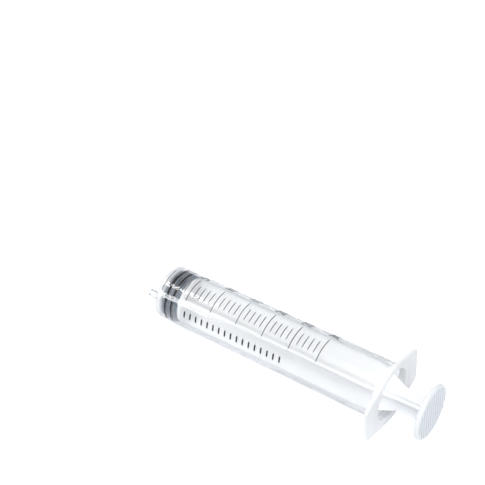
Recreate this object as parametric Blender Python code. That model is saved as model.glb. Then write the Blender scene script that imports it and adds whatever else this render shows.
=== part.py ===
"""A 30 ml disposable oral syringe with its plunger fully in: barrel, stopper and plunger rod.

The syringe lies along X with its nozzle towards -X, its scale up (+Z) and its finger flange
across Y. The origin is under the middle of its length, on the plane that the flange touches.
Stations are distances along the syringe from the zero line of its scale.
"""

from math import atan2, ceil, cos, pi, radians, sin, sqrt, tan

import bmesh
import bpy
from mathutils import Vector

MM = 0.001
MILLILITRE = 1e-6

# ---- Driving dimensions ----
BORE_RADIUS = 11.0 * MM
WALL = 1.0 * MM
CAPACITY_ML = 30

NOZZLE_OFFSET = 7.1 * MM  # below the barrel's axis, on the side away from the scale
NOZZLE_LENGTH = 9.4 * MM
NOZZLE_TIP_RADIUS = 1.8 * MM
NOZZLE_BASE_RADIUS = 2.05 * MM
NOZZLE_BORE_RADIUS = 0.9 * MM
NOZZLE_FILLET = 1.2 * MM
FRONT_CONE_HEIGHT = 4.0 * MM
FRONT_CONE_SLOPE = radians(25)
SHOULDER_BEFORE_ZERO = 1.4 * MM
SHOULDER_ROUNDING = 0.9 * MM

MOUTH_AFTER_SCALE = 30.6 * MM
FLANGE_THICKNESS = 1.4 * MM
FLANGE_RADIUS = 14.0 * MM
FLANGE_REACH = 19.9 * MM
FLANGE_SIDE_SLOPE = radians(17.5)
FLANGE_CORNER_RADIUS = 3.0 * MM
FLANGE_FILLET = 0.8 * MM
EDGE_ROUNDING = 0.4 * MM

STOPPER_LENGTH = 8.8 * MM
STOPPER_LEAD = 0.4 * MM  # how far the rim's front edge is ahead of the zero line
STOPPER_CONE_HEIGHT = 2.0 * MM
STOPPER_BODY_RADIUS = 10.2 * MM
STOPPER_RIBS = (3.05 * MM, 6.3 * MM)
STOPPER_RIB_HALF_WIDTH = 0.45 * MM
RUNNING_GAP = 0.1 * MM
SOCKET_RADIUS = 7.2 * MM
SOCKET_MOUTH_RADIUS = 5.5 * MM
SOCKET_FRONT = 2.2 * MM
SOCKET_REAR = 6.4 * MM

SOCKET_GAP = 0.2 * MM
FACE_GAP = 0.3 * MM
PLATE_RADIUS = 10.2 * MM
PLATE_THICKNESS = 1.6 * MM
VANE_THICKNESS = 1.4 * MM
VANE_HALF_WIDTH = 10.0 * MM
VANE_FILLET = 0.6 * MM
NECK_HALF_WIDTH = 5.0 * MM
NECK_BEYOND_MOUTH = 4.0 * MM
FLARE_ANGLE = radians(23)
ROD_TURN = radians(-45)  # the rod turns freely, and here its vanes stand diagonally

THUMB_BEYOND_MOUTH = 17.4 * MM
THUMB_RADIUS = 11.8 * MM
THUMB_THICKNESS = 2.2 * MM
THUMB_ROUNDING = 1.0 * MM
RIDGE_PITCH = 1.85 * MM
GROOVE_COUNT = 12
GROOVE_TURN = radians(45)  # from the vanes
GROOVE_DEPTH = 0.5 * MM
GROOVE_TOP_WIDTH = 0.95 * MM
GROOVE_FLOOR_WIDTH = 0.5 * MM
GROOVE_FIELD_RADIUS = 10.7 * MM

STEP_ANGLE = radians(6)
CORNER_STEPS = 4
SHARP_EDGE = radians(35)

# ---- Derived stations and places ----
BARREL_RADIUS = BORE_RADIUS + WALL
SCALE_LENGTH = CAPACITY_ML * MILLILITRE / (pi * BORE_RADIUS**2)
MOUTH = SCALE_LENGTH + MOUTH_AFTER_SCALE
FLANGE_FRONT = MOUTH - FLANGE_THICKNESS
THUMB_FACE = MOUTH + THUMB_BEYOND_MOUTH
THUMB_BACK = THUMB_FACE - THUMB_THICKNESS
CONE_BASE = -SHOULDER_BEFORE_ZERO - SHOULDER_ROUNDING * cos(FRONT_CONE_SLOPE)
CONE_END = CONE_BASE - FRONT_CONE_HEIGHT
NOZZLE_TIP = CONE_END - NOZZLE_LENGTH
ZERO_X = -(NOZZLE_TIP + THUMB_FACE) / 2
AXIS_Z = FLANGE_RADIUS


# ---- Rings of points round the syringe's axis ----
def flange_corner():
    """The centre of a wing's corner arc, across and up, and the angle of its side's normal."""
    normal = pi / 2 - FLANGE_SIDE_SLOPE
    across = FLANGE_REACH - FLANGE_CORNER_RADIUS
    up = (FLANGE_RADIUS - FLANGE_CORNER_RADIUS - across * cos(normal)) / sin(normal)
    return across, up, normal


def corner_angle(turn):
    """Where a point of the corner arc, turned this far, lies round the syringe's axis."""
    across, up, _ = flange_corner()
    return atan2(
        up + FLANGE_CORNER_RADIUS * sin(turn), across + FLANGE_CORNER_RADIUS * cos(turn)
    )


def flange_reach_at(angle):
    """The flange outline's distance from the axis, at an angle from the wings' direction."""
    folded = atan2(abs(sin(angle)), abs(cos(angle)))
    across, up, normal = flange_corner()
    if folded <= corner_angle(0):
        return FLANGE_REACH / cos(folded)
    if folded <= corner_angle(normal):
        along = across * cos(folded) + up * sin(folded)
        aside = across * sin(folded) - up * cos(folded)
        return along + sqrt(FLANGE_CORNER_RADIUS**2 - aside**2)
    if folded <= normal:
        return FLANGE_RADIUS / cos(folded - normal)
    return FLANGE_RADIUS


def barrel_angles():
    """Even steps round the axis, with finer ones where the flange's corners turn."""
    normal = flange_corner()[2]
    corner = [corner_angle(normal * step / CORNER_STEPS) for step in range(CORNER_STEPS + 1)]
    even = [STEP_ANGLE * step for step in range(ceil(pi / 2 / STEP_ANGLE) + 1)]
    even = [angle for angle in even if all(abs(angle - other) > STEP_ANGLE / 3 for other in corner)]
    quarter = sorted(even + corner)
    half = quarter + [pi - angle for angle in reversed(quarter[:-1])]
    return half + [angle + pi for angle in half[1:-1]]


BARREL_ANGLES = barrel_angles()
ROUND_ANGLES = [STEP_ANGLE * step for step in range(round(2 * pi / STEP_ANGLE))]


def round_ring(station, radius, angles, drop=0.0):
    """A circle across the axis; drop lowers its centre. A zero radius is a single point."""
    if radius == 0:
        return [Vector((station, 0, -drop))]
    return [Vector((station, radius * cos(a), radius * sin(a) - drop)) for a in angles]


def flange_ring(station, inset):
    reaches = [flange_reach_at(angle) - inset for angle in BARREL_ANGLES]
    return [Vector((station, r * cos(a), r * sin(a))) for a, r in zip(BARREL_ANGLES, reaches)]


def arc(station, radius, size, start, end, steps):
    """(station, radius) points on an arc round a centre; angles run from +X to outward."""
    turns = [start + (end - start) * step / steps for step in range(steps + 1)]
    return [(station + size * cos(turn), radius + size * sin(turn)) for turn in turns]


# ---- Meshes and objects ----
def skin(bm, rings, closed):
    """Faces between each ring and the next; a ring of one point closes to that point."""
    loops = [[bm.verts.new(point) for point in ring] for ring in rings]
    pairs = list(zip(loops, loops[1:]))
    if closed:
        pairs.append((loops[-1], loops[0]))
    for low, high in pairs:
        count = max(len(low), len(high))
        for i in range(count):
            j = (i + 1) % count
            corners = [low[i % len(low)], low[j % len(low)], high[j % len(high)], high[i % len(high)]]
            bm.faces.new([v for k, v in enumerate(corners) if v not in corners[:k]])
    return loops


def mesh_from(bm, name):
    bmesh.ops.recalc_face_normals(bm, faces=bm.faces)
    mesh = bpy.data.meshes.new(name)
    bm.to_mesh(mesh)
    bm.free()
    return mesh


def turned(name, profile):
    """A solid of revolution from (station, radius) points that run from axis to axis."""
    bm = bmesh.new()
    skin(bm, [round_ring(s, r, ROUND_ANGLES) for s, r in profile], closed=False)
    return mesh_from(bm, name)


def add_object(name, mesh, parent=None):
    mesh.shade_smooth()
    mesh.set_sharp_from_angle(angle=SHARP_EDGE)
    obj = bpy.data.objects.new(name, mesh)
    bpy.context.scene.collection.objects.link(obj)
    obj.parent = parent
    return obj


def combine(obj, name, mesh, operation, turn=0.0):
    """Joins a solid to an object or cuts it away; the helper itself is not drawn."""
    helper = add_object(name, mesh, obj)
    helper.rotation_euler = (turn, 0, 0)
    helper.hide_render = True
    helper.display_type = "WIRE"
    modifier = obj.modifiers.new(name, "BOOLEAN")
    modifier.operation = operation
    modifier.object = helper
    modifier.solver = "EXACT"


def finish(obj, colour, roughness, transmission=0.0):
    material = bpy.data.materials.new(obj.name)
    material.use_nodes = True
    shader = material.node_tree.nodes["Principled BSDF"]
    shader.inputs["Base Color"].default_value = (*colour, 1)
    shader.inputs["Roughness"].default_value = roughness
    shader.inputs["Metallic"].default_value = 0
    shader.inputs["Transmission Weight"].default_value = transmission
    obj.data.materials.append(material)


# ---- Barrel: nozzle, front cone, tube and finger flange in one moulding ----
def flange_edge():
    """The flange's rounded rim, from its rear face to its front face."""
    rear = arc(MOUTH - EDGE_ROUNDING, -EDGE_ROUNDING, EDGE_ROUNDING, 0, pi / 2, 3)
    front = arc(FLANGE_FRONT + EDGE_ROUNDING, -EDGE_ROUNDING, EDGE_ROUNDING, pi / 2, pi, 3)
    return [flange_ring(station, -offset) for station, offset in rear + front]


def barrel_outside():
    """The tube's outside from the flange to the shoulder, then the front cone and nozzle."""
    tube = arc(
        FLANGE_FRONT - FLANGE_FILLET, BARREL_RADIUS + FLANGE_FILLET, FLANGE_FILLET, 0, -pi / 2, 3
    )
    shoulder = arc(
        -SHOULDER_BEFORE_ZERO,
        BARREL_RADIUS - SHOULDER_ROUNDING,
        SHOULDER_ROUNDING,
        pi / 2,
        pi - FRONT_CONE_SLOPE,
        3,
    )
    fillet = arc(
        CONE_END - NOZZLE_FILLET * cos(FRONT_CONE_SLOPE),
        NOZZLE_BASE_RADIUS + NOZZLE_FILLET,
        NOZZLE_FILLET,
        -FRONT_CONE_SLOPE,
        -pi / 2,
        4,
    )
    tip_rounding = NOZZLE_TIP_RADIUS / 8
    tip = arc(
        NOZZLE_TIP + tip_rounding,
        NOZZLE_TIP_RADIUS - tip_rounding,
        tip_rounding,
        pi / 2,
        pi,
        2,
    )
    rings = [round_ring(s, r, BARREL_ANGLES) for s, r in tube + shoulder]
    middle = ((shoulder[-1][0] + fillet[0][0]) / 2, (shoulder[-1][1] + fillet[0][1]) / 2)
    rings.append(round_ring(*middle, BARREL_ANGLES, NOZZLE_OFFSET / 2))
    return rings + [round_ring(s, r, BARREL_ANGLES, NOZZLE_OFFSET) for s, r in fillet + tip]


def barrel_inside():
    """The bore, from the nozzle's tip back through the front cone to the flared mouth."""
    nozzle = [
        (NOZZLE_TIP, NOZZLE_BORE_RADIUS * 1.25),
        (NOZZLE_TIP + NOZZLE_BORE_RADIUS / 3, NOZZLE_BORE_RADIUS),
        (CONE_END, NOZZLE_BORE_RADIUS),
        (CONE_END + WALL * 0.8, NOZZLE_BORE_RADIUS + WALL),
    ]
    rings = [round_ring(s, r, BARREL_ANGLES, NOZZLE_OFFSET) for s, r in nozzle]
    lead_in = WALL / 2
    tube = [
        (CONE_BASE + WALL * 0.9, BORE_RADIUS - WALL / 4),
        (CONE_BASE + WALL * 1.2, BORE_RADIUS),
        (MOUTH - lead_in, BORE_RADIUS),
        (MOUTH, BORE_RADIUS + lead_in),
    ]
    return rings + [round_ring(s, r, BARREL_ANGLES) for s, r in tube]


def build_barrel():
    bm = bmesh.new()
    skin(bm, flange_edge() + barrel_outside() + barrel_inside(), closed=True)
    barrel = add_object("barrel", mesh_from(bm, "barrel"))
    barrel.location = (ZERO_X, 0, AXIS_Z)
    finish(barrel, (0.88, 0.91, 0.94), 0.25, transmission=0.8)
    return barrel


# ---- Stopper: the rubber piston head, hollow for the rod's head ----
def stopper_profile():
    rim = -STOPPER_LEAD
    soft = STOPPER_RIB_HALF_WIDTH
    profile = [(rim - STOPPER_CONE_HEIGHT, 0), (rim - soft / 2, STOPPER_BODY_RADIUS - soft)]
    profile.append((rim, STOPPER_BODY_RADIUS))
    seal_radius = BORE_RADIUS - RUNNING_GAP
    for rib in STOPPER_RIBS:
        profile += [
            (rib - 2 * soft, STOPPER_BODY_RADIUS),
            (rib - soft, seal_radius - soft / 4),
            (rib - soft / 2, seal_radius),
            (rib + soft / 2, seal_radius),
            (rib + soft, seal_radius - soft / 4),
            (rib + 2 * soft, STOPPER_BODY_RADIUS),
        ]
    profile += [
        (STOPPER_LENGTH - soft, STOPPER_BODY_RADIUS),
        (STOPPER_LENGTH, STOPPER_BODY_RADIUS - soft),
        (STOPPER_LENGTH, SOCKET_MOUTH_RADIUS),
        (SOCKET_REAR, SOCKET_MOUTH_RADIUS),
        (SOCKET_REAR, SOCKET_RADIUS),
        (SOCKET_FRONT, SOCKET_RADIUS),
        (SOCKET_FRONT, 0),
    ]
    return profile


def build_stopper(barrel):
    stopper = add_object("stopper", turned("stopper", stopper_profile()), barrel)
    finish(stopper, (0.02, 0.022, 0.026), 0.45)
    return stopper


# ---- Plunger rod: head, plate, crossed vanes and thumb plate in one moulding ----
def cross_ring(station, half_width):
    """A plus-shaped outline with filleted inner corners."""
    edge = VANE_THICKNESS / 2
    corner = edge + VANE_FILLET
    quarter = [(half_width, -edge), (half_width, edge)]
    for step in range(4):
        turn = -pi / 2 - pi / 2 * step / 3
        quarter.append((corner + VANE_FILLET * cos(turn), corner + VANE_FILLET * sin(turn)))
    ring = []
    for turn in (0, pi / 2, pi, 3 * pi / 2):
        for across, up in quarter:
            y = across * cos(turn) - up * sin(turn)
            z = across * sin(turn) + up * cos(turn)
            ring.append(Vector((station, y, z)))
    return ring


def rod_shaft():
    """The crossed vanes, full width inside the barrel and narrow from its mouth outwards."""
    neck = MOUTH + NECK_BEYOND_MOUTH
    flare = neck - (VANE_HALF_WIDTH - NECK_HALF_WIDTH) / tan(FLARE_ANGLE)
    plate_middle = STOPPER_LENGTH + FACE_GAP + PLATE_THICKNESS / 2
    bm = bmesh.new()
    rings = [
        cross_ring(plate_middle, VANE_HALF_WIDTH),
        cross_ring(flare, VANE_HALF_WIDTH),
        cross_ring(neck, NECK_HALF_WIDTH),
        cross_ring((THUMB_BACK + THUMB_FACE) / 2, NECK_HALF_WIDTH),
    ]
    loops = skin(bm, rings, closed=False)
    bm.faces.new(loops[0])
    bm.faces.new(loops[-1])
    return mesh_from(bm, "plunger_rod")


def rod_head():
    """The head that snaps into the stopper, its neck, and the plate that pushes the stopper."""
    front = SOCKET_FRONT + SOCKET_GAP
    rear = SOCKET_REAR - SOCKET_GAP
    radius = SOCKET_RADIUS - SOCKET_GAP
    neck_radius = SOCKET_MOUTH_RADIUS - SOCKET_GAP
    plate = STOPPER_LENGTH + FACE_GAP
    bevel = SOCKET_GAP
    profile = [
        (front, 0),
        (front, radius - 2 * bevel),
        (front + 2 * bevel, radius),
        (rear, radius),
        (rear, neck_radius),
        (plate, neck_radius),
        (plate, PLATE_RADIUS - bevel),
        (plate + bevel, PLATE_RADIUS),
        (plate + PLATE_THICKNESS - bevel, PLATE_RADIUS),
        (plate + PLATE_THICKNESS, PLATE_RADIUS - bevel),
        (plate + PLATE_THICKNESS, 0),
    ]
    return turned("rod_head", profile)


def thumb_plate():
    rim = THUMB_RADIUS - THUMB_ROUNDING
    back = arc(THUMB_BACK + THUMB_ROUNDING, rim, THUMB_ROUNDING, pi, pi / 2, 4)
    face = arc(THUMB_FACE - THUMB_ROUNDING, rim, THUMB_ROUNDING, pi / 2, 0, 4)
    return turned("thumb_plate", [(THUMB_BACK, 0)] + back + face + [(THUMB_FACE, 0)])


def thumb_grooves():
    """Bars that cut the grip's grooves, each as long as the round field allows."""
    widen = (GROOVE_TOP_WIDTH - GROOVE_FLOOR_WIDTH) / 2
    bm = bmesh.new()
    for index in range(GROOVE_COUNT):
        middle = (index + 0.5 - GROOVE_COUNT / 2) * RIDGE_PITCH
        length = sqrt(GROOVE_FIELD_RADIUS**2 - middle**2)
        rings = []
        for level in (-1, 1):
            half = GROOVE_FLOOR_WIDTH / 2 + widen * (1 + level)
            station = THUMB_FACE + GROOVE_DEPTH * level
            corners = [(-half, -length), (half, -length), (half, length), (-half, length)]
            rings.append([Vector((station, middle + y, z)) for y, z in corners])
        loops = skin(bm, rings, closed=False)
        bm.faces.new(loops[0])
        bm.faces.new(loops[-1])
    return mesh_from(bm, "thumb_grooves")


def build_rod(stopper):
    rod = add_object("plunger_rod", rod_shaft(), stopper)
    rod.rotation_euler = (ROD_TURN, 0, 0)
    combine(rod, "rod_head", rod_head(), "UNION")
    combine(rod, "thumb_plate", thumb_plate(), "UNION")
    combine(rod, "thumb_grooves", thumb_grooves(), "DIFFERENCE", GROOVE_TURN)
    finish(rod, (0.92, 0.92, 0.93), 0.4)
    return rod


def clear_scene():
    for obj in list(bpy.data.objects):
        bpy.data.objects.remove(obj, do_unlink=True)


clear_scene()
syringe_barrel = build_barrel()
syringe_stopper = build_stopper(syringe_barrel)
build_rod(syringe_stopper)
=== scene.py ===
"""The looks of a 30 ml oral syringe: fine surfaces, printed scale, materials, studio and camera."""

from math import atan2, ceil, cos, pi, radians, sin, sqrt, tan

import bmesh
import bpy
from mathutils import Matrix, Quaternion, Vector


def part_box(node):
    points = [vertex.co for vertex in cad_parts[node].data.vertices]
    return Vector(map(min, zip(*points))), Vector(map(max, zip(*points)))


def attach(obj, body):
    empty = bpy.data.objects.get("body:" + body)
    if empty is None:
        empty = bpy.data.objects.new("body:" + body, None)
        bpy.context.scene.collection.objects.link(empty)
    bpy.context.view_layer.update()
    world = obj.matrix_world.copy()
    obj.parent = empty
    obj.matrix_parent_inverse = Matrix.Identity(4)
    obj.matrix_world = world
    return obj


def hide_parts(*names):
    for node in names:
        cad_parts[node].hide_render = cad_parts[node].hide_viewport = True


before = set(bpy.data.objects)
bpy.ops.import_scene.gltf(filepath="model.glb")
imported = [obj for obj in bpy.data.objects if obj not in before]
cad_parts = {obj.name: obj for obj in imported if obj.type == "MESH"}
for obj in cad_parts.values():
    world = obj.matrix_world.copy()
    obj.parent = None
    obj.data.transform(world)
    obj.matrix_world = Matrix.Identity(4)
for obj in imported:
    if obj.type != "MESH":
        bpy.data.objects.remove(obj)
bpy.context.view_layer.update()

MM = 0.001

# ---- Places read from the frame ----
BARREL_LOW, BARREL_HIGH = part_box("barrel")
STOPPER_LOW, STOPPER_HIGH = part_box("stopper")
ROD_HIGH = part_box("plunger_rod")[1]
AXIS_Z = (BARREL_LOW.z + BARREL_HIGH.z) / 2
MOUTH = BARREL_HIGH.x
NOZZLE_TIP = BARREL_LOW.x
THUMB_FACE = ROD_HIGH.x
FLANGE_REACH = BARREL_HIGH.y
FLANGE_RADIUS = AXIS_Z
STOPPER_REAR = STOPPER_HIGH.x

# ---- Sizes that the solids have too ----
BORE_RADIUS = 11.0 * MM
BARREL_RADIUS = 12.0 * MM
SEAL_RADIUS = BORE_RADIUS + 0.05 * MM  # squeezed flat against the bore, so no air shows between
ML_PITCH = 1e-6 / (pi * BORE_RADIUS**2)
ZERO = STOPPER_REAR - 8.8 * MM
NOZZLE_OFFSET = 7.1 * MM
FRONT_CONE_SLOPE = radians(25)
FLANGE_THICKNESS = 1.4 * MM
FLANGE_SIDE_SLOPE = radians(17.5)
FLANGE_CORNER_RADIUS = 3.0 * MM
ROD_TURN = radians(-45)
THUMB_RADIUS = 11.8 * MM
THUMB_THICKNESS = 2.2 * MM
RIDGE_PITCH = 1.85 * MM
GROOVE_COUNT = 12
GROOVE_TURN = radians(45)  # from the vanes

# ---- Print on the barrel ----
PRINT_TURN = radians(-14.6)  # the print's middle, from the top towards -Y
INK_LIFT = 0.012 * MM
INK_THICKNESS = 0.03 * MM
FULL_SCALE_ML = 30
NUMBERED_EVERY_ML = 5
MARK_WIDTH = 0.34 * MM
LONG_MARK_HALF_TURN = radians(28.4)
SHORT_MARK_HALF_TURN = radians(13.4)
NUMBER_FONT_SIZE = 6.1 * MM
NUMBER_TURN = radians(37.5)  # from the print's middle

# ---- Camera ----
CAMERA_AZIMUTH = radians(39.64)
CAMERA_ELEVATION = radians(41.16)
CAMERA_ROLL = radians(-5.81)
CAMERA_PLACE = (ZERO + 0.2370, -0.2365, AXIS_Z + 0.3172)
CAMERA_LENS = 76.94

# ---- Lights ----
STRIP_STATION = -0.42  # far past the nozzle, so that the streaks fall on the stopper's end
STRIP_LENGTH = 0.1
LAMP_SIZE = 0.7


def place(station, across, up):
    """World place of a point given along the syringe and across from its axis."""
    return Vector((station, across, up + AXIS_Z))


def turned_round(obj, radians_about_axis):
    for vertex in obj.data.vertices:
        y, z = vertex.co.y, vertex.co.z - AXIS_Z
        c, s = cos(radians_about_axis), sin(radians_about_axis)
        vertex.co.y, vertex.co.z = y * c - z * s, y * s + z * c + AXIS_Z


# ---- Rings ----
def even_angles(count):
    return [2 * pi * step / count for step in range(count)]


def round_ring(station, radius, angles, drop=0.0):
    if radius == 0:
        return [place(station, 0, -drop)]
    return [place(station, radius * cos(a), radius * sin(a) - drop) for a in angles]


def arc(station, radius, size, start, end, steps):
    turns = [start + (end - start) * step / steps for step in range(steps + 1)]
    return [(station + size * cos(turn), radius + size * sin(turn)) for turn in turns]


def skin(bm, rings, closed=False):
    loops = [[bm.verts.new(point) for point in ring] for ring in rings]
    pairs = list(zip(loops, loops[1:]))
    if closed:
        pairs.append((loops[-1], loops[0]))
    for low, high in pairs:
        count = max(len(low), len(high))
        for i in range(count):
            j = (i + 1) % count
            corners = [low[i % len(low)], low[j % len(low)], high[j % len(high)], high[i % len(high)]]
            bm.faces.new([v for k, v in enumerate(corners) if v not in corners[:k]])
    return loops


def piece_from(bm, name, sharp=40):
    bmesh.ops.recalc_face_normals(bm, faces=bm.faces)
    mesh = bpy.data.meshes.new(name)
    bm.to_mesh(mesh)
    bm.free()
    mesh.shade_smooth()
    mesh.set_sharp_from_angle(angle=radians(sharp))
    obj = bpy.data.objects.new(name, mesh)
    bpy.context.scene.collection.objects.link(obj)
    return obj


def turned(name, profile, count=192):
    bm = bmesh.new()
    skin(bm, [round_ring(s, r, even_angles(count)) for s, r in profile])
    return piece_from(bm, name)


def join_solids(obj, others):
    """Unites closed meshes into one closed mesh."""
    for other in others:
        modifier = obj.modifiers.new(other.name, "BOOLEAN")
        modifier.operation = "UNION"
        modifier.object = other
        modifier.solver = "EXACT"
        bpy.context.view_layer.objects.active = obj
        bpy.ops.object.modifier_apply(modifier=modifier.name)
        bpy.data.objects.remove(other)


# ---- Barrel ----
def flange_corner():
    normal = pi / 2 - FLANGE_SIDE_SLOPE
    across = FLANGE_REACH - FLANGE_CORNER_RADIUS
    up = (FLANGE_RADIUS - FLANGE_CORNER_RADIUS - across * cos(normal)) / sin(normal)
    return across, up, normal


def flange_reach_at(angle):
    folded = atan2(abs(sin(angle)), abs(cos(angle)))
    across, up, normal = flange_corner()
    arc_start = atan2(up, FLANGE_REACH)
    arc_end = atan2(
        up + FLANGE_CORNER_RADIUS * sin(normal), across + FLANGE_CORNER_RADIUS * cos(normal)
    )
    if folded <= arc_start:
        return FLANGE_REACH / cos(folded)
    if folded <= arc_end:
        along = across * cos(folded) + up * sin(folded)
        aside = across * sin(folded) - up * cos(folded)
        return along + sqrt(FLANGE_CORNER_RADIUS**2 - aside**2)
    if folded <= normal:
        return FLANGE_RADIUS / cos(folded - normal)
    return FLANGE_RADIUS


def barrel_rings():
    """One closed run of rings: round the flange's rim, forward outside, and back inside."""
    angles = even_angles(360)

    def flange_ring(station, inset):
        reaches = [flange_reach_at(a) - inset for a in angles]
        return [place(station, r * cos(a), r * sin(a)) for a, r in zip(angles, reaches)]

    edge = 0.4 * MM
    flange_front = MOUTH - FLANGE_THICKNESS
    rim = arc(MOUTH - edge, -edge, edge, 0, pi / 2, 5)
    rim += arc(flange_front + edge, -edge, edge, pi / 2, pi, 5)
    rings = [flange_ring(station, -offset) for station, offset in rim]

    fillet = 0.8 * MM
    outside = arc(flange_front - fillet, BARREL_RADIUS + fillet, fillet, 0, -pi / 2, 6)
    shoulder = 0.9 * MM
    front = ZERO - 1.4 * MM
    outside += arc(
        front, BARREL_RADIUS - shoulder, shoulder, pi / 2, pi - FRONT_CONE_SLOPE, 8
    )
    rings += [round_ring(s, r, angles) for s, r in outside]
    base_radius = 2.05 * MM
    neck = 1.2 * MM
    cone_base = outside[-1][0]
    cone_end = cone_base - 4.0 * MM
    neck_arc = arc(
        cone_end - neck * cos(FRONT_CONE_SLOPE),
        base_radius + neck,
        neck,
        -FRONT_CONE_SLOPE,
        -pi / 2,
        8,
    )
    for step in range(1, 8):
        share = step / 8
        station = outside[-1][0] + (neck_arc[0][0] - outside[-1][0]) * share
        radius = outside[-1][1] + (neck_arc[0][1] - outside[-1][1]) * share
        rings.append(round_ring(station, radius, angles, NOZZLE_OFFSET * share))
    tip_radius = 1.8 * MM
    tip_edge = tip_radius / 8
    nozzle = neck_arc + arc(
        NOZZLE_TIP + tip_edge, tip_radius - tip_edge, tip_edge, pi / 2, pi, 4
    )
    bore = 0.9 * MM
    nozzle += arc(NOZZLE_TIP + bore / 4, bore * 1.25, bore / 4, pi, 3 * pi / 2, 3)
    nozzle += [(cone_end, bore), (cone_end + 0.8 * MM, bore + 1.0 * MM)]
    rings += [round_ring(s, r, angles, NOZZLE_OFFSET) for s, r in nozzle]
    inner_start = (cone_base + 0.9 * MM, BORE_RADIUS - 0.25 * MM)
    for step in range(1, 8):
        share = step / 8
        station = nozzle[-1][0] + (inner_start[0] - nozzle[-1][0]) * share
        radius = nozzle[-1][1] + (inner_start[1] - nozzle[-1][1]) * share
        rings.append(round_ring(station, radius, angles, NOZZLE_OFFSET * (1 - share)))
    lead_in = 0.8 * MM
    inside = [inner_start, (cone_base + 1.2 * MM, BORE_RADIUS), (MOUTH - lead_in, BORE_RADIUS)]
    inside += arc(MOUTH - lead_in, BORE_RADIUS + lead_in, lead_in, -pi / 2, 0, 5)[1:]
    return rings + [round_ring(s, r, angles) for s, r in inside]


def build_barrel():
    bm = bmesh.new()
    skin(bm, barrel_rings(), closed=True)
    return piece_from(bm, "barrel_moulding", sharp=30)


# ---- Stopper ----
def stopper_profile():
    body = 10.2 * MM
    rim = ZERO - 0.4 * MM
    soft = 0.45 * MM
    profile = [(STOPPER_LOW.x, 0)]
    profile += arc(rim + soft, body - soft, soft, pi * 0.9, pi / 2, 6)
    rib_half_width = 0.72 * MM
    rib_foot = 1.0 * MM
    rib_steps = 12
    flatness = 0.25  # a small power of the sine gives the rib a flat crest and steep sides
    for rib in (ZERO + 3.05 * MM, ZERO + 6.3 * MM):
        profile.append((rib - rib_foot, body))
        for step in range(rib_steps + 1):
            turn = pi - pi * step / rib_steps
            rising = 0 < step < rib_steps
            height = (SEAL_RADIUS - body) * sin(turn) ** flatness if rising else 0
            profile.append((rib + rib_half_width * cos(turn), body + height))
        profile.append((rib + rib_foot, body))
    profile += arc(STOPPER_REAR - soft, body - soft, soft, pi / 2, 0, 6)
    socket_mouth = 5.5 * MM
    socket = 7.2 * MM
    socket_rear, socket_end = ZERO + 6.4 * MM, ZERO + 2.2 * MM
    profile += [
        (STOPPER_REAR, socket_mouth),
        (socket_rear, socket_mouth),
        (socket_rear, socket),
        (socket_end, socket),
        (socket_end, 0),
    ]
    return profile


# ---- Plunger rod ----
def cross_ring(station, half_width, edge, fillet, outer=0.3 * MM):
    """A plus-shaped outline: half_width to each vane's end, edge to each vane's side."""
    quarter = []
    for step in range(4):
        turn = -pi / 2 + pi / 2 * step / 3
        quarter.append((half_width - outer + outer * cos(turn), -edge + outer + outer * sin(turn)))
    for step in range(4):
        turn = pi / 2 * step / 3
        quarter.append((half_width - outer + outer * cos(turn), edge - outer + outer * sin(turn)))
    corner = edge + fillet
    for step in range(6):
        turn = -pi / 2 - pi / 2 * step / 5
        quarter.append((corner + fillet * cos(turn), corner + fillet * sin(turn)))
    ring = []
    for turn in (0, pi / 2, pi, 3 * pi / 2):
        for across, up in quarter:
            y = across * cos(turn) - up * sin(turn)
            z = across * sin(turn) + up * cos(turn)
            ring.append(place(station, y, z))
    return ring


def rod_shaft():
    wide, narrow = 10.0 * MM, 5.0 * MM
    edge, fillet = 0.7 * MM, 0.6 * MM
    neck = MOUTH + 4.0 * MM
    flare = neck - (wide - narrow) / tan(radians(23))
    plate_middle = STOPPER_REAR + 0.3 * MM + 0.8 * MM
    thumb_back = THUMB_FACE - THUMB_THICKNESS
    rings = [
        cross_ring(plate_middle, wide, edge, fillet),
        cross_ring(flare - 1.5 * MM, wide, edge, fillet),
    ]
    flare_steps = 8
    for step in range(1, flare_steps + 1):
        share = step / flare_steps
        station = flare + (neck - flare) * share
        rings.append(cross_ring(station, wide + (narrow - wide) * share, edge, fillet))
    foot = 0.9 * MM
    for step in range(7):
        turn = pi / 2 * step / 6
        grow = foot * (1 - cos(turn))
        station = thumb_back - foot + foot * sin(turn)
        rings.append(cross_ring(station, narrow + grow, edge + grow * 0.8, fillet))
    rings.append(cross_ring(thumb_back + 0.8 * MM, narrow + foot, edge + foot * 0.8, fillet))
    bm = bmesh.new()
    loops = skin(bm, rings)
    bm.faces.new(loops[0])
    bm.faces.new(loops[-1])
    return piece_from(bm, "plunger_rod_moulding", sharp=30)


def rod_head():
    front, rear = ZERO + 2.4 * MM, ZERO + 6.2 * MM
    plate = STOPPER_REAR + 0.3 * MM
    thick, bevel = 1.6 * MM, 0.2 * MM
    radius, neck_radius, plate_radius = 7.0 * MM, 5.3 * MM, 10.2 * MM
    profile = [(front, 0), (front, radius - 2 * bevel), (front + 2 * bevel, radius)]
    profile += [(rear, radius), (rear, neck_radius), (plate, neck_radius)]
    profile += arc(plate + bevel, plate_radius - bevel, bevel, pi, pi / 2, 3)
    profile += arc(plate + thick - bevel, plate_radius - bevel, bevel, pi / 2, 0, 3)
    profile.append((plate + thick, 0))
    return turned("rod_head", profile)


def groove_depth(across):
    """How deep the grip's rounded grooves are at a distance across the ridges."""
    depth, field = 0.55 * MM, GROOVE_COUNT / 2 * RIDGE_PITCH
    if abs(across) >= field:
        return 0.0
    phase = (across / RIDGE_PITCH) % 1.0
    bump = min(1.0, max(0.0, (abs(phase - 0.5) - 0.10) / 0.24))
    return depth * (1 - bump * bump * (3 - 2 * bump))


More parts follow.
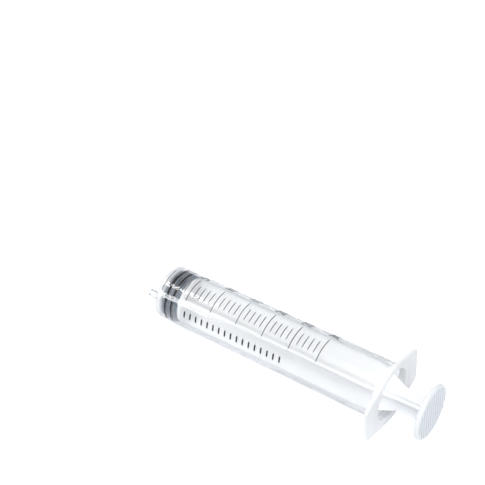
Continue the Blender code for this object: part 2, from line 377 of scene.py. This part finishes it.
def thumb_plate():
    """The plate with its ridged face: rows along the ridges, closed by rings round the rim."""
    rim_radius, rounding = THUMB_RADIUS, 1.0 * MM
    face_radius = rim_radius - rounding
    rows_per_ridge = 12
    steps = rows_per_ridge * GROOVE_COUNT // 2
    rows = [step * RIDGE_PITCH / rows_per_ridge for step in range(-steps, steps + 1)]
    rows = [row for row in rows if abs(row) < face_radius * 0.985]
    last = rows[-1]
    pole_steps = 8
    angle = atan2(sqrt(face_radius**2 - last**2), last)
    poles = [face_radius * cos(angle * (1 - step / pole_steps)) for step in range(1, pole_steps)]
    rows = [-p for p in reversed(poles)] + rows + poles
    columns = 40
    bm = bmesh.new()
    grid = []
    for across in rows:
        reach = sqrt(face_radius**2 - across**2)
        line = []
        for column in range(columns + 1):
            # columns gather near the ends, where the grooves run out
            up = -reach * cos(pi * column / columns)
            inside = (face_radius - 0.15 * MM) - sqrt(across**2 + up**2)
            fade = min(1.0, max(0.0, inside / (0.45 * MM)))
            sink = groove_depth(across) * fade * fade * (3 - 2 * fade)
            line.append(bm.verts.new(place(THUMB_FACE - sink, across, up)))
        grid.append(line)
    start = bm.verts.new(place(THUMB_FACE, -face_radius, 0))
    end = bm.verts.new(place(THUMB_FACE, face_radius, 0))
    for low, high in zip(grid, grid[1:]):
        for column in range(columns):
            bm.faces.new([low[column], high[column], high[column + 1], low[column + 1]])
    for column in range(columns):
        bm.faces.new([start, grid[0][column], grid[0][column + 1]])
        bm.faces.new([end, grid[-1][column + 1], grid[-1][column]])
    loop = [start] + [line[0] for line in grid] + [end] + [line[-1] for line in reversed(grid)]
    angles = [atan2(v.co.z - AXIS_Z, v.co.y) for v in loop]
    back = THUMB_FACE - THUMB_THICKNESS
    profile = arc(THUMB_FACE - rounding, face_radius, rounding, 0, pi / 2, 8)[1:]
    profile += arc(back + rounding, face_radius, rounding, pi / 2, pi, 8)
    profile.append((back, 0))
    for station, radius in profile:
        ring = [bm.verts.new(point) for point in round_ring(station, radius, angles)]
        for i in range(len(loop)):
            j = (i + 1) % len(loop)
            corners = [loop[i], loop[j], ring[j % len(ring)], ring[i % len(ring)]]
            bm.faces.new([v for k, v in enumerate(corners) if v not in corners[:k]])
        loop = ring
    plate = piece_from(bm, "thumb_plate")
    turned_round(plate, GROOVE_TURN)
    return plate


def build_rod():
    rod = rod_shaft()
    join_solids(rod, [rod_head(), thumb_plate()])
    rod.data.set_sharp_from_angle(angle=radians(30))
    turned_round(rod, ROD_TURN)
    return rod


# ---- Print ----
def wrap(bm, name):
    """Bends flat ink, drawn with x round the barrel and y towards the nozzle, on to it."""
    step = 0.35 * MM
    low = min(v.co.x for v in bm.verts)
    high = max(v.co.x for v in bm.verts)
    for index in range(1, ceil((high - low) / step)):
        cut = Vector((low + index * step, 0, 0))
        everything = bm.verts[:] + bm.edges[:] + bm.faces[:]
        bmesh.ops.bisect_plane(bm, geom=everything, plane_co=cut, plane_no=Vector((1, 0, 0)))
    bmesh.ops.remove_doubles(bm, verts=bm.verts, dist=1e-7)
    under = BARREL_RADIUS + INK_LIFT
    boundary = [edge for edge in bm.edges if edge.is_boundary]
    tops = {}
    flat = [(v, v.co.copy()) for v in bm.verts]
    for vertex, co in flat:
        angle = PRINT_TURN + co.x / BARREL_RADIUS
        vertex.co = place(ZERO - co.y, under * sin(angle), under * cos(angle))
        over = under + INK_THICKNESS
        tops[vertex] = bm.verts.new(place(ZERO - co.y, over * sin(angle), over * cos(angle)))
    for face in list(bm.faces):
        bm.faces.new([tops[v] for v in face.verts])
    for edge in boundary:
        a, b = edge.verts
        bm.faces.new([a, b, tops[b], tops[a]])
    bmesh.ops.recalc_face_normals(bm, faces=bm.faces)
    mesh = bpy.data.meshes.new(name)
    bm.to_mesh(mesh)
    bm.free()
    obj = bpy.data.objects.new(name, mesh)
    bpy.context.scene.collection.objects.link(obj)
    return obj


def rounded_bar(bm, x_low, x_high, y_middle, thickness):
    """A flat bar with round ends."""
    half = thickness / 2
    points = []
    for end, start in ((x_high - half, -pi / 2), (x_low + half, pi / 2)):
        for step in range(7):
            turn = start + pi * step / 6
            points.append(Vector((end + half * cos(turn), y_middle + half * sin(turn), 0)))
    bm.faces.new([bm.verts.new(point) for point in points])


def scale_marks():
    bm = bmesh.new()
    for ml in range(FULL_SCALE_ML + 1):
        half_turn = SHORT_MARK_HALF_TURN if ml % NUMBERED_EVERY_ML else LONG_MARK_HALF_TURN
        half = BARREL_RADIUS * half_turn
        rounded_bar(bm, -half, half, -ml * ML_PITCH, MARK_WIDTH)
    return wrap(bm, "scale_marks")


def scale_numbers():
    pieces = []
    for ml in range(NUMBERED_EVERY_ML, FULL_SCALE_ML + 1, NUMBERED_EVERY_ML):
        curve = bpy.data.curves.new("number", "FONT")
        curve.body = f"{ml}ml" if ml == FULL_SCALE_ML else str(ml)
        curve.size = NUMBER_FONT_SIZE
        curve.space_character = 1.06
        curve.resolution_u = 6
        holder = bpy.data.objects.new("number", curve)
        bpy.context.scene.collection.objects.link(holder)
        bpy.context.view_layer.update()
        graph = bpy.context.evaluated_depsgraph_get()
        mesh = bpy.data.meshes.new_from_object(holder.evaluated_get(graph))
        bpy.data.objects.remove(holder)
        bm = bmesh.new()
        bm.from_mesh(mesh)
        middle = (min(v.co.y for v in bm.verts) + max(v.co.y for v in bm.verts)) / 2
        for vertex in bm.verts:
            vertex.co.x += BARREL_RADIUS * NUMBER_TURN
            vertex.co.y += -ml * ML_PITCH - middle
        bmesh.ops.remove_doubles(bm, verts=bm.verts, dist=1e-6)
        pieces.append(wrap(bm, f"number_{ml}"))
    return pieces


def plain_bars():
    """A plain row of equal bars, where such barrels carry a line of print."""
    bm = bmesh.new()
    first, last = 5.4 * ML_PITCH, 24.1 * ML_PITCH
    count = 17
    thickness = 0.75 * MM
    height = BARREL_RADIUS * radians(15)
    middle = -BARREL_RADIUS * radians(56)
    for index in range(count):
        y = -(first + (last - first) * index / (count - 1))
        rounded_bar(bm, middle - height / 2, middle + height / 2, y, thickness)
    return wrap(bm, "plain_bars")


# ---- Materials ----
def new_material(name):
    material = bpy.data.materials.new(name)
    material.use_nodes = True
    nodes = material.node_tree.nodes
    return material, nodes, material.node_tree.links, nodes["Principled BSDF"]


def noise_node(nodes, links, scale, detail=4.0, stretch=(1, 1, 1)):
    coords = nodes.new("ShaderNodeTexCoord")
    mapping = nodes.new("ShaderNodeMapping")
    mapping.inputs["Scale"].default_value = stretch
    noise = nodes.new("ShaderNodeTexNoise")
    noise.inputs["Scale"].default_value = scale
    noise.inputs["Detail"].default_value = detail
    links.new(coords.outputs["Object"], mapping.inputs["Vector"])
    links.new(mapping.outputs["Vector"], noise.inputs["Vector"])
    return noise


def vary(nodes, links, source, low, high, socket):
    spread = nodes.new("ShaderNodeMapRange")
    spread.inputs["To Min"].default_value = low
    spread.inputs["To Max"].default_value = high
    links.new(source, spread.inputs["Value"])
    links.new(spread.outputs["Result"], socket)


def add_bump(nodes, links, source, shader, strength, distance):
    bump = nodes.new("ShaderNodeBump")
    bump.inputs["Strength"].default_value = strength
    bump.inputs["Distance"].default_value = distance
    links.new(source, bump.inputs["Height"])
    links.new(bump.outputs["Normal"], shader.inputs["Normal"])


def ramp_between(nodes, links, source, low, high):
    """0 below low, 1 above high, and smooth between."""
    step = nodes.new("ShaderNodeMapRange")
    step.interpolation_type = "SMOOTHSTEP"
    step.inputs["From Min"].default_value = low
    step.inputs["From Max"].default_value = high
    links.new(source, step.inputs["Value"])
    return step.outputs["Result"]


def math_node(nodes, links, operation, *values):
    node = nodes.new("ShaderNodeMath")
    node.operation = operation
    for socket, value in zip(node.inputs, values):
        if isinstance(value, (int, float)):
            socket.default_value = value
        else:
            links.new(value, socket)
    return node.outputs["Value"]


def position_node(nodes, links):
    """The place on the syringe, split into X, Y and Z."""
    coords = nodes.new("ShaderNodeTexCoord")
    split = nodes.new("ShaderNodeSeparateXYZ")
    links.new(coords.outputs["Object"], split.inputs["Vector"])
    return split


def radius_node(nodes, links, split):
    """Distance from the syringe's axis."""
    up = math_node(nodes, links, "SUBTRACT", split.outputs["Z"], AXIS_Z)
    aside = math_node(nodes, links, "MULTIPLY", split.outputs["Y"], split.outputs["Y"])
    square = math_node(nodes, links, "MULTIPLY_ADD", up, up, aside)
    return math_node(nodes, links, "SQRT", square)


def barrel_plastic():
    """Clear outside, hazy on the bore's moulded face, and milky at the front cone and the flange."""
    material, nodes, links, shader = new_material("barrel_plastic")
    shader.inputs["IOR"].default_value = 1.49
    shader.inputs["Specular Tint"].default_value = (0.6, 0.6, 0.6, 1)
    split = position_node(nodes, links)
    along = split.outputs["X"]
    radius = radius_node(nodes, links, split)
    inside = ramp_between(nodes, links, radius, BORE_RADIUS + 0.5 * MM, BORE_RADIUS + 0.1 * MM)
    behind = ramp_between(nodes, links, along, STOPPER_REAR + 0.2 * MM, STOPPER_REAR + 1.2 * MM)
    frost = math_node(nodes, links, "MULTIPLY_ADD", behind, 0.08, 0.12)
    haze = math_node(nodes, links, "MULTIPLY", inside, frost)
    flange = ramp_between(nodes, links, along, MOUTH - 4.2 * MM, MOUTH - 2.6 * MM)
    nose = ramp_between(nodes, links, along, ZERO + 2.6 * MM, ZERO - 0.4 * MM)
    past_nozzle = ramp_between(nodes, links, along, ZERO - 8.5 * MM, ZERO - 6.5 * MM)
    cone_milk = math_node(nodes, links, "MULTIPLY", past_nozzle, 0.5)
    nose = math_node(nodes, links, "MULTIPLY", nose, cone_milk)
    milk = math_node(nodes, links, "MULTIPLY", flange, 0.85)
    milk = math_node(nodes, links, "MAXIMUM", milk, nose)
    milk = math_node(nodes, links, "MAXIMUM", milk, haze)
    # painted highlight: the rim round the mouth is painted near-white, where the rounded rim catches
    # the light
    mouth = ramp_between(nodes, links, along, MOUTH - 1.0 * MM, MOUTH - 0.8 * MM)
    wall = ramp_between(nodes, links, radius, BARREL_RADIUS + 0.25 * MM, BARREL_RADIUS)
    lip = math_node(nodes, links, "MULTIPLY", mouth, wall)
    clear = math_node(nodes, links, "SUBTRACT", 1, milk)
    links.new(clear, shader.inputs["Transmission Weight"])
    tint = nodes.new("ShaderNodeMix")
    tint.data_type = "RGBA"
    tint.inputs["A"].default_value = (0.975, 0.984, 0.994, 1)
    tint.inputs["B"].default_value = (0.91, 0.915, 0.92, 1)
    links.new(flange, tint.inputs["Factor"])
    painted_lip_highlight = nodes.new("ShaderNodeMix")
    painted_lip_highlight.data_type = "RGBA"
    painted_lip_highlight.inputs["B"].default_value = (0.99, 0.99, 0.99, 1)
    links.new(lip, painted_lip_highlight.inputs["Factor"])
    links.new(tint.outputs["Result"], painted_lip_highlight.inputs["A"])
    links.new(painted_lip_highlight.outputs["Result"], shader.inputs["Base Color"])
    flow = noise_node(nodes, links, 220, stretch=(0.2, 1, 1))
    vary(nodes, links, flow.outputs["Fac"], 0.1, 0.16, shader.inputs["Roughness"])
    add_bump(nodes, links, flow.outputs["Fac"], shader, 0.03, 0.00005)
    return material


def rod_plastic():
    """Milky white; painted shade greys it from the neck to the thumb plate and in the plate's
    grooves.
    """
    material, nodes, links, shader = new_material("rod_plastic")
    shader.inputs["Subsurface Weight"].default_value = 0.5
    shader.inputs["Subsurface Radius"].default_value = (1.0, 1.0, 1.0)
    shader.inputs["Subsurface Scale"].default_value = 0.001
    split = position_node(nodes, links)
    along = split.outputs["X"]
    # painted shade: the grip's groove floors are tinted grey-blue, as if in shade
    groove = ramp_between(nodes, links, along, THUMB_FACE - 0.05 * MM, THUMB_FACE - 0.3 * MM)
    plate = ramp_between(nodes, links, along, THUMB_FACE - 0.8 * MM, THUMB_FACE - 0.6 * MM)
    radius = radius_node(nodes, links, split)
    field = ramp_between(nodes, links, radius, THUMB_RADIUS - 1.0 * MM, THUMB_RADIUS - 1.3 * MM)
    on_plate = math_node(nodes, links, "MULTIPLY", groove, plate)
    shade = math_node(nodes, links, "MULTIPLY", on_plate, field)
    # painted shade: the rod's colour greys from its neck out to the thumb plate
    neck = ramp_between(nodes, links, along, MOUTH - 3.0 * MM, MOUTH + 5.0 * MM)
    painted_outside_shade = nodes.new("ShaderNodeMix")
    painted_outside_shade.data_type = "RGBA"
    painted_outside_shade.inputs["A"].default_value = (0.95, 0.955, 0.96, 1)
    painted_outside_shade.inputs["B"].default_value = (0.8, 0.81, 0.82, 1)
    links.new(neck, painted_outside_shade.inputs["Factor"])
    tint = nodes.new("ShaderNodeMix")
    tint.data_type = "RGBA"
    tint.inputs["B"].default_value = (0.62, 0.66, 0.7, 1)
    links.new(painted_outside_shade.outputs["Result"], tint.inputs["A"])
    links.new(shade, tint.inputs["Factor"])
    links.new(tint.outputs["Result"], shader.inputs["Base Color"])
    grain = noise_node(nodes, links, 900)
    vary(nodes, links, grain.outputs["Fac"], 0.28, 0.42, shader.inputs["Roughness"])
    add_bump(nodes, links, grain.outputs["Fac"], shader, 0.1, 0.0001)
    return material


def stopper_rubber():
    """Black where the ribs' crests rub; the recesses are painted grey-blue, a painted reflection of
    the bore where air lies between it and the rubber.
    """
    material, nodes, links, shader = new_material("stopper_rubber")
    shader.inputs["Specular IOR Level"].default_value = 0.12
    grain = noise_node(nodes, links, 1500)
    ramp = nodes.new("ShaderNodeValToRGB")
    ramp.color_ramp.elements[0].color = (0.004, 0.006, 0.01, 1)
    ramp.color_ramp.elements[1].color = (0.01, 0.014, 0.022, 1)
    links.new(grain.outputs["Fac"], ramp.inputs["Fac"])
    split = position_node(nodes, links)
    radius = radius_node(nodes, links, split)
    crest = ramp_between(nodes, links, radius, BORE_RADIUS - 0.3 * MM, BORE_RADIUS - 0.1 * MM)
    # painted reflection: the recesses, with air between rubber and bore, are painted grey-blue
    painted_gap_reflection = nodes.new("ShaderNodeMix")
    painted_gap_reflection.data_type = "RGBA"
    painted_gap_reflection.inputs["A"].default_value = (0.1, 0.14, 0.19, 1)
    links.new(crest, painted_gap_reflection.inputs["Factor"])
    links.new(ramp.outputs["Color"], painted_gap_reflection.inputs["B"])
    links.new(painted_gap_reflection.outputs["Result"], shader.inputs["Base Color"])
    vary(nodes, links, grain.outputs["Fac"], 0.3, 0.42, shader.inputs["Roughness"])
    add_bump(nodes, links, grain.outputs["Fac"], shader, 0.12, 0.0001)
    return material


def scale_ink():
    material, nodes, links, shader = new_material("scale_ink")
    shader.inputs["Specular IOR Level"].default_value = 0.1
    mottle = noise_node(nodes, links, 4000)
    ramp = nodes.new("ShaderNodeValToRGB")
    ramp.color_ramp.elements[0].color = (0.008, 0.009, 0.011, 1)
    ramp.color_ramp.elements[1].color = (0.03, 0.032, 0.036, 1)
    links.new(mottle.outputs["Fac"], ramp.inputs["Fac"])
    links.new(ramp.outputs["Color"], shader.inputs["Base Color"])
    vary(nodes, links, mottle.outputs["Fac"], 0.6, 0.75, shader.inputs["Roughness"])
    return material


# ---- Studio ----
def build_floor():
    bpy.ops.mesh.primitive_plane_add(size=6, location=(0, 0, 0))
    floor = bpy.context.object
    floor.name = "floor"
    material, nodes, links, shader = new_material("floor_white")
    shader.inputs["Base Color"].default_value = (0.62, 0.64, 0.67, 1)
    shader.inputs["Roughness"].default_value = 0.9
    shader.inputs["Specular IOR Level"].default_value = 0.1
    shader.inputs["Emission Color"].default_value = (1, 1, 1, 1)
    path = nodes.new("ShaderNodeLightPath")
    glow = nodes.new("ShaderNodeMapRange")
    glow.inputs["To Min"].default_value = 0.3
    glow.inputs["To Max"].default_value = 0.6
    links.new(path.outputs["Is Camera Ray"], glow.inputs["Value"])
    links.new(glow.outputs["Result"], shader.inputs["Emission Strength"])
    floor.data.materials.append(material)


def build_world():
    world = bpy.data.worlds.new("studio")
    bpy.context.scene.world = world
    world.use_nodes = True
    nodes, links = world.node_tree.nodes, world.node_tree.links
    background = nodes["Background"]
    coords = nodes.new("ShaderNodeTexCoord")
    split = nodes.new("ShaderNodeSeparateXYZ")
    ramp = nodes.new("ShaderNodeValToRGB")
    ramp.color_ramp.elements[0].position = 0.0
    ramp.color_ramp.elements[0].color = (0.38, 0.43, 0.5, 1)
    ramp.color_ramp.elements[1].position = 0.9
    ramp.color_ramp.elements[1].color = (0.9, 0.9, 0.9, 1)
    links.new(coords.outputs["Generated"], split.inputs["Vector"])
    links.new(split.outputs["Z"], ramp.inputs["Fac"])
    links.new(ramp.outputs["Color"], background.inputs["Color"])
    background.inputs["Strength"].default_value = 1.0
    # the barrel casts no shadow, so the sky seen through it as well would count twice
    world.cycles_visibility.transmission = False


def area_light(name, middle, target, length, width, radiance):
    """A softbox with its length along the syringe, facing a target."""
    data = bpy.data.lights.new(name, "AREA")
    data.shape = "RECTANGLE"
    data.size, data.size_y = length, width
    data.energy = radiance * pi * length * width
    light = bpy.data.objects.new(name, data)
    light.location = middle
    back = (Vector(middle) - Vector(target)).normalized()
    along = (Vector((1, 0, 0)) - back * back.x).normalized()
    light.rotation_mode = "QUATERNION"
    light.rotation_quaternion = Matrix((along, back.cross(along), back)).transposed().to_quaternion()
    light.visible_camera = False
    # the barrel casts no shadow, so a lamp seen through it as well would count twice
    light.visible_transmission = False
    bpy.context.scene.collection.objects.link(light)
    return light


def highlight_strip(name, aside, up, width, radiance):
    """A strip that shows only as a streak on glossy surfaces, near the stopper."""
    middle = place(STRIP_STATION, aside, up)
    strip = area_light(name, middle, place(STRIP_STATION, 0, 0), STRIP_LENGTH, width, radiance)
    strip.visible_diffuse = False


def build_camera():
    level = cos(CAMERA_ELEVATION)
    back = Vector(
        (sin(CAMERA_AZIMUTH) * level, -cos(CAMERA_AZIMUTH) * level, sin(CAMERA_ELEVATION))
    )
    data = bpy.data.cameras.new("camera")
    data.sensor_width = 36
    data.lens = CAMERA_LENS
    data.clip_start, data.clip_end = 0.01, 50
    camera = bpy.data.objects.new("camera", data)
    camera.location = CAMERA_PLACE
    camera.rotation_mode = "QUATERNION"
    facing = (-back).to_track_quat("-Z", "Y")
    camera.rotation_quaternion = facing @ Quaternion((0, 0, 1), CAMERA_ROLL)
    bpy.context.scene.collection.objects.link(camera)
    bpy.context.scene.camera = camera


def finish_piece(obj, material, slot, body, *replaced):
    obj.data.materials.clear()
    obj.data.materials.append(material)
    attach(obj, body)
    if replaced:
        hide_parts(*replaced)


build_camera()
build_floor()
build_world()
area_light("key", (-0.1, -0.35, 0.8), (0, 0, 0), LAMP_SIZE, LAMP_SIZE, 2.3)
area_light("fill", (0.8, -0.35, 0.35), (0, 0, 0), LAMP_SIZE, LAMP_SIZE, 1.0)
highlight_strip("upper_strip", -0.12, 0.50, 0.15, 20)
highlight_strip("lower_strip", -0.46, 0.227, 0.2, 20)

barrel = build_barrel()
barrel.visible_shadow = False  # so the lamps light the pieces inside it
finish_piece(barrel, barrel_plastic(), "barrel_plastic", "barrel", "barrel")
finish_piece(
    turned("stopper_moulding", stopper_profile()),
    stopper_rubber(),
    "stopper_rubber",
    "stopper",
    "stopper",
)
finish_piece(build_rod(), rod_plastic(), "rod_plastic", "plunger_rod", "plunger_rod")
ink = scale_ink()
for printed in [scale_marks(), plain_bars(), *scale_numbers()]:
    finish_piece(printed, ink, "scale_ink", "barrel")

bpy.context.scene.view_settings.view_transform = "Standard"
